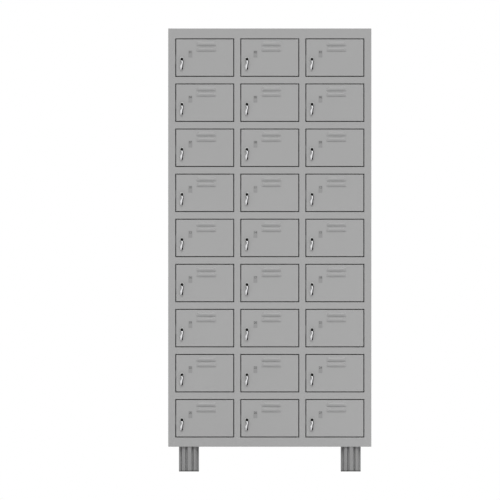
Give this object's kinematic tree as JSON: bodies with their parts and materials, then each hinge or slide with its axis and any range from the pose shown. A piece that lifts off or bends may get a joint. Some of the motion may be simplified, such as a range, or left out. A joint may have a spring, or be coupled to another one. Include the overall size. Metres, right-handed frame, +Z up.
{
  "type": "shoe locker",
  "caption": "Free-standing sheet steel shoe locker with a grid of small louvred doors, each with a turning latch, on four fluted legs.",
  "frame": {"origin": "on the floor, under the middle of the whole locker with its handles", "axes": "+X to the right seen from the front, +Y from the doors to the back, +Z up"},
  "size_m": [0.91, 0.3938, 1.985],
  "materials": {
    "cabinet_paint": "light grey powder coat, fine orange peel, semi-matt",
    "door_paint": "light grey powder coat, fine orange peel, semi-matt",
    "leg_plastic": "mid grey moulded plastic, slightly satin, on darker rubber feet",
    "zinc_steel": "bright zinc plate",
    "chrome": "polished chrome plate with a black key plug"
  },
  "bodies": {
    "cabinet": {"front_frame": "cabinet_paint", "outer_panels": "cabinet_paint", "back_panel": "cabinet_paint", "partitions_and_shelves": "cabinet_paint", "legs_and_feet": "leg_plastic", "leg_bolts": "zinc_steel"},
    "door_01": {"door_01": "door_paint"},
    "latch_01": {"latch_01": "chrome"},
    "door_02": {"door_02": "door_paint"},
    "latch_02": {"latch_02": "chrome"},
    "door_03": {"door_03": "door_paint"},
    "latch_03": {"latch_03": "chrome"},
    "door_04": {"door_04": "door_paint"},
    "latch_04": {"latch_04": "chrome"},
    "door_05": {"door_05": "door_paint"},
    "latch_05": {"latch_05": "chrome"},
    "door_06": {"door_06": "door_paint"},
    "latch_06": {"latch_06": "chrome"},
    "door_07": {"door_07": "door_paint"},
    "latch_07": {"latch_07": "chrome"},
    "door_08": {"door_08": "door_paint"},
    "latch_08": {"latch_08": "chrome"},
    "door_09": {"door_09": "door_paint"},
    "latch_09": {"latch_09": "chrome"},
    "door_10": {"door_10": "door_paint"},
    "latch_10": {"latch_10": "chrome"},
    "door_11": {"door_11": "door_paint"},
    "latch_11": {"latch_11": "chrome"},
    "door_12": {"door_12": "door_paint"},
    "latch_12": {"latch_12": "chrome"},
    "door_13": {"door_13": "door_paint"},
    "latch_13": {"latch_13": "chrome"},
    "door_14": {"door_14": "door_paint"},
    "latch_14": {"latch_14": "chrome"},
    "door_15": {"door_15": "door_paint"},
    "latch_15": {"latch_15": "chrome"},
    "door_16": {"door_16": "door_paint"},
    "latch_16": {"latch_16": "chrome"},
    "door_17": {"door_17": "door_paint"},
    "latch_17": {"latch_17": "chrome"},
    "door_18": {"door_18": "door_paint"},
    "latch_18": {"latch_18": "chrome"},
    "door_19": {"door_19": "door_paint"},
    "latch_19": {"latch_19": "chrome"},
    "door_20": {"door_20": "door_paint"},
    "latch_20": {"latch_20": "chrome"},
    "door_21": {"door_21": "door_paint"},
    "latch_21": {"latch_21": "chrome"},
    "door_22": {"door_22": "door_paint"},
    "latch_22": {"latch_22": "chrome"},
    "door_23": {"door_23": "door_paint"},
    "latch_23": {"latch_23": "chrome"},
    "door_24": {"door_24": "door_paint"},
    "latch_24": {"latch_24": "chrome"},
    "door_25": {"door_25": "door_paint"},
    "latch_25": {"latch_25": "chrome"},
    "door_26": {"door_26": "door_paint"},
    "latch_26": {"latch_26": "chrome"},
    "door_27": {"door_27": "door_paint"},
    "latch_27": {"latch_27": "chrome"}
  },
  "joints": [
    {"name": "door_01_hinge", "type": "hinge", "parent": "cabinet", "child": "door_01", "pos_m": [-0.1715, -0.1771, 1.8545], "axis": [0, 0, 1], "range_deg": [0, 110]},
    {"name": "latch_01_turn", "type": "hinge", "parent": "door_01", "child": "latch_01", "pos_m": [-0.3938, -0.1831, 1.8475], "axis": [0, -1, 0], "range_deg": [0, 90]},
    {"name": "door_02_hinge", "type": "hinge", "parent": "cabinet", "child": "door_02", "pos_m": [0.12, -0.1771, 1.8545], "axis": [0, 0, 1], "range_deg": [0, 110]},
    {"name": "latch_02_turn", "type": "hinge", "parent": "door_02", "child": "latch_02", "pos_m": [-0.1023, -0.1831, 1.8475], "axis": [0, -1, 0], "range_deg": [0, 90]},
    {"name": "door_03_hinge", "type": "hinge", "parent": "cabinet", "child": "door_03", "pos_m": [0.4115, -0.1771, 1.8545], "axis": [0, 0, 1], "range_deg": [0, 110]},
    {"name": "latch_03_turn", "type": "hinge", "parent": "door_03", "child": "latch_03", "pos_m": [0.1892, -0.1831, 1.8475], "axis": [0, -1, 0], "range_deg": [0, 90]},
    {"name": "door_04_hinge", "type": "hinge", "parent": "cabinet", "child": "door_04", "pos_m": [-0.1715, -0.1771, 1.6525], "axis": [0, 0, 1], "range_deg": [0, 110]},
    {"name": "latch_04_turn", "type": "hinge", "parent": "door_04", "child": "latch_04", "pos_m": [-0.3938, -0.1831, 1.6455], "axis": [0, -1, 0], "range_deg": [0, 90]},
    {"name": "door_05_hinge", "type": "hinge", "parent": "cabinet", "child": "door_05", "pos_m": [0.12, -0.1771, 1.6525], "axis": [0, 0, 1], "range_deg": [0, 110]},
    {"name": "latch_05_turn", "type": "hinge", "parent": "door_05", "child": "latch_05", "pos_m": [-0.1023, -0.1831, 1.6455], "axis": [0, -1, 0], "range_deg": [0, 90]},
    {"name": "door_06_hinge", "type": "hinge", "parent": "cabinet", "child": "door_06", "pos_m": [0.4115, -0.1771, 1.6525], "axis": [0, 0, 1], "range_deg": [0, 110]},
    {"name": "latch_06_turn", "type": "hinge", "parent": "door_06", "child": "latch_06", "pos_m": [0.1892, -0.1831, 1.6455], "axis": [0, -1, 0], "range_deg": [0, 90]},
    {"name": "door_07_hinge", "type": "hinge", "parent": "cabinet", "child": "door_07", "pos_m": [-0.1715, -0.1771, 1.4505], "axis": [0, 0, 1], "range_deg": [0, 110]},
    {"name": "latch_07_turn", "type": "hinge", "parent": "door_07", "child": "latch_07", "pos_m": [-0.3938, -0.1831, 1.4435], "axis": [0, -1, 0], "range_deg": [0, 90]},
    {"name": "door_08_hinge", "type": "hinge", "parent": "cabinet", "child": "door_08", "pos_m": [0.12, -0.1771, 1.4505], "axis": [0, 0, 1], "range_deg": [0, 110]},
    {"name": "latch_08_turn", "type": "hinge", "parent": "door_08", "child": "latch_08", "pos_m": [-0.1023, -0.1831, 1.4435], "axis": [0, -1, 0], "range_deg": [0, 90]},
    {"name": "door_09_hinge", "type": "hinge", "parent": "cabinet", "child": "door_09", "pos_m": [0.4115, -0.1771, 1.4505], "axis": [0, 0, 1], "range_deg": [0, 110]},
    {"name": "latch_09_turn", "type": "hinge", "parent": "door_09", "child": "latch_09", "pos_m": [0.1892, -0.1831, 1.4435], "axis": [0, -1, 0], "range_deg": [0, 90]},
    {"name": "door_10_hinge", "type": "hinge", "parent": "cabinet", "child": "door_10", "pos_m": [-0.1715, -0.1771, 1.2485], "axis": [0, 0, 1], "range_deg": [0, 110]},
    {"name": "latch_10_turn", "type": "hinge", "parent": "door_10", "child": "latch_10", "pos_m": [-0.3938, -0.1831, 1.2415], "axis": [0, -1, 0], "range_deg": [0, 90]},
    {"name": "door_11_hinge", "type": "hinge", "parent": "cabinet", "child": "door_11", "pos_m": [0.12, -0.1771, 1.2485], "axis": [0, 0, 1], "range_deg": [0, 110]},
    {"name": "latch_11_turn", "type": "hinge", "parent": "door_11", "child": "latch_11", "pos_m": [-0.1023, -0.1831, 1.2415], "axis": [0, -1, 0], "range_deg": [0, 90]},
    {"name": "door_12_hinge", "type": "hinge", "parent": "cabinet", "child": "door_12", "pos_m": [0.4115, -0.1771, 1.2485], "axis": [0, 0, 1], "range_deg": [0, 110]},
    {"name": "latch_12_turn", "type": "hinge", "parent": "door_12", "child": "latch_12", "pos_m": [0.1892, -0.1831, 1.2415], "axis": [0, -1, 0], "range_deg": [0, 90]},
    {"name": "door_13_hinge", "type": "hinge", "parent": "cabinet", "child": "door_13", "pos_m": [-0.1715, -0.1771, 1.0465], "axis": [0, 0, 1], "range_deg": [0, 110]},
    {"name": "latch_13_turn", "type": "hinge", "parent": "door_13", "child": "latch_13", "pos_m": [-0.3938, -0.1831, 1.0395], "axis": [0, -1, 0], "range_deg": [0, 90]},
    {"name": "door_14_hinge", "type": "hinge", "parent": "cabinet", "child": "door_14", "pos_m": [0.12, -0.1771, 1.0465], "axis": [0, 0, 1], "range_deg": [0, 110]},
    {"name": "latch_14_turn", "type": "hinge", "parent": "door_14", "child": "latch_14", "pos_m": [-0.1023, -0.1831, 1.0395], "axis": [0, -1, 0], "range_deg": [0, 90]},
    {"name": "door_15_hinge", "type": "hinge", "parent": "cabinet", "child": "door_15", "pos_m": [0.4115, -0.1771, 1.0465], "axis": [0, 0, 1], "range_deg": [0, 110]},
    {"name": "latch_15_turn", "type": "hinge", "parent": "door_15", "child": "latch_15", "pos_m": [0.1892, -0.1831, 1.0395], "axis": [0, -1, 0], "range_deg": [0, 90]},
    {"name": "door_16_hinge", "type": "hinge", "parent": "cabinet", "child": "door_16", "pos_m": [-0.1715, -0.1771, 0.8445], "axis": [0, 0, 1], "range_deg": [0, 110]},
    {"name": "latch_16_turn", "type": "hinge", "parent": "door_16", "child": "latch_16", "pos_m": [-0.3938, -0.1831, 0.8375], "axis": [0, -1, 0], "range_deg": [0, 90]},
    {"name": "door_17_hinge", "type": "hinge", "parent": "cabinet", "child": "door_17", "pos_m": [0.12, -0.1771, 0.8445], "axis": [0, 0, 1], "range_deg": [0, 110]},
    {"name": "latch_17_turn", "type": "hinge", "parent": "door_17", "child": "latch_17", "pos_m": [-0.1023, -0.1831, 0.8375], "axis": [0, -1, 0], "range_deg": [0, 90]},
    {"name": "door_18_hinge", "type": "hinge", "parent": "cabinet", "child": "door_18", "pos_m": [0.4115, -0.1771, 0.8445], "axis": [0, 0, 1], "range_deg": [0, 110]},
    {"name": "latch_18_turn", "type": "hinge", "parent": "door_18", "child": "latch_18", "pos_m": [0.1892, -0.1831, 0.8375], "axis": [0, -1, 0], "range_deg": [0, 90]},
    {"name": "door_19_hinge", "type": "hinge", "parent": "cabinet", "child": "door_19", "pos_m": [-0.1715, -0.1771, 0.6425], "axis": [0, 0, 1], "range_deg": [0, 110]},
    {"name": "latch_19_turn", "type": "hinge", "parent": "door_19", "child": "latch_19", "pos_m": [-0.3938, -0.1831, 0.6355], "axis": [0, -1, 0], "range_deg": [0, 90]},
    {"name": "door_20_hinge", "type": "hinge", "parent": "cabinet", "child": "door_20", "pos_m": [0.12, -0.1771, 0.6425], "axis": [0, 0, 1], "range_deg": [0, 110]},
    {"name": "latch_20_turn", "type": "hinge", "parent": "door_20", "child": "latch_20", "pos_m": [-0.1023, -0.1831, 0.6355], "axis": [0, -1, 0], "range_deg": [0, 90]},
    {"name": "door_21_hinge", "type": "hinge", "parent": "cabinet", "child": "door_21", "pos_m": [0.4115, -0.1771, 0.6425], "axis": [0, 0, 1], "range_deg": [0, 110]},
    {"name": "latch_21_turn", "type": "hinge", "parent": "door_21", "child": "latch_21", "pos_m": [0.1892, -0.1831, 0.6355], "axis": [0, -1, 0], "range_deg": [0, 90]},
    {"name": "door_22_hinge", "type": "hinge", "parent": "cabinet", "child": "door_22", "pos_m": [-0.1715, -0.1771, 0.4405], "axis": [0, 0, 1], "range_deg": [0, 110]},
    {"name": "latch_22_turn", "type": "hinge", "parent": "door_22", "child": "latch_22", "pos_m": [-0.3938, -0.1831, 0.4335], "axis": [0, -1, 0], "range_deg": [0, 90]},
    {"name": "door_23_hinge", "type": "hinge", "parent": "cabinet", "child": "door_23", "pos_m": [0.12, -0.1771, 0.4405], "axis": [0, 0, 1], "range_deg": [0, 110]},
    {"name": "latch_23_turn", "type": "hinge", "parent": "door_23", "child": "latch_23", "pos_m": [-0.1023, -0.1831, 0.4335], "axis": [0, -1, 0], "range_deg": [0, 90]},
    {"name": "door_24_hinge", "type": "hinge", "parent": "cabinet", "child": "door_24", "pos_m": [0.4115, -0.1771, 0.4405], "axis": [0, 0, 1], "range_deg": [0, 110]},
    {"name": "latch_24_turn", "type": "hinge", "parent": "door_24", "child": "latch_24", "pos_m": [0.1892, -0.1831, 0.4335], "axis": [0, -1, 0], "range_deg": [0, 90]},
    {"name": "door_25_hinge", "type": "hinge", "parent": "cabinet", "child": "door_25", "pos_m": [-0.1715, -0.1771, 0.2385], "axis": [0, 0, 1], "range_deg": [0, 110]},
    {"name": "latch_25_turn", "type": "hinge", "parent": "door_25", "child": "latch_25", "pos_m": [-0.3938, -0.1831, 0.2315], "axis": [0, -1, 0], "range_deg": [0, 90]},
    {"name": "door_26_hinge", "type": "hinge", "parent": "cabinet", "child": "door_26", "pos_m": [0.12, -0.1771, 0.2385], "axis": [0, 0, 1], "range_deg": [0, 110]},
    {"name": "latch_26_turn", "type": "hinge", "parent": "door_26", "child": "latch_26", "pos_m": [-0.1023, -0.1831, 0.2315], "axis": [0, -1, 0], "range_deg": [0, 90]},
    {"name": "door_27_hinge", "type": "hinge", "parent": "cabinet", "child": "door_27", "pos_m": [0.4115, -0.1771, 0.2385], "axis": [0, 0, 1], "range_deg": [0, 110]},
    {"name": "latch_27_turn", "type": "hinge", "parent": "door_27", "child": "latch_27", "pos_m": [0.1892, -0.1831, 0.2315], "axis": [0, -1, 0], "range_deg": [0, 90]}
  ]
}
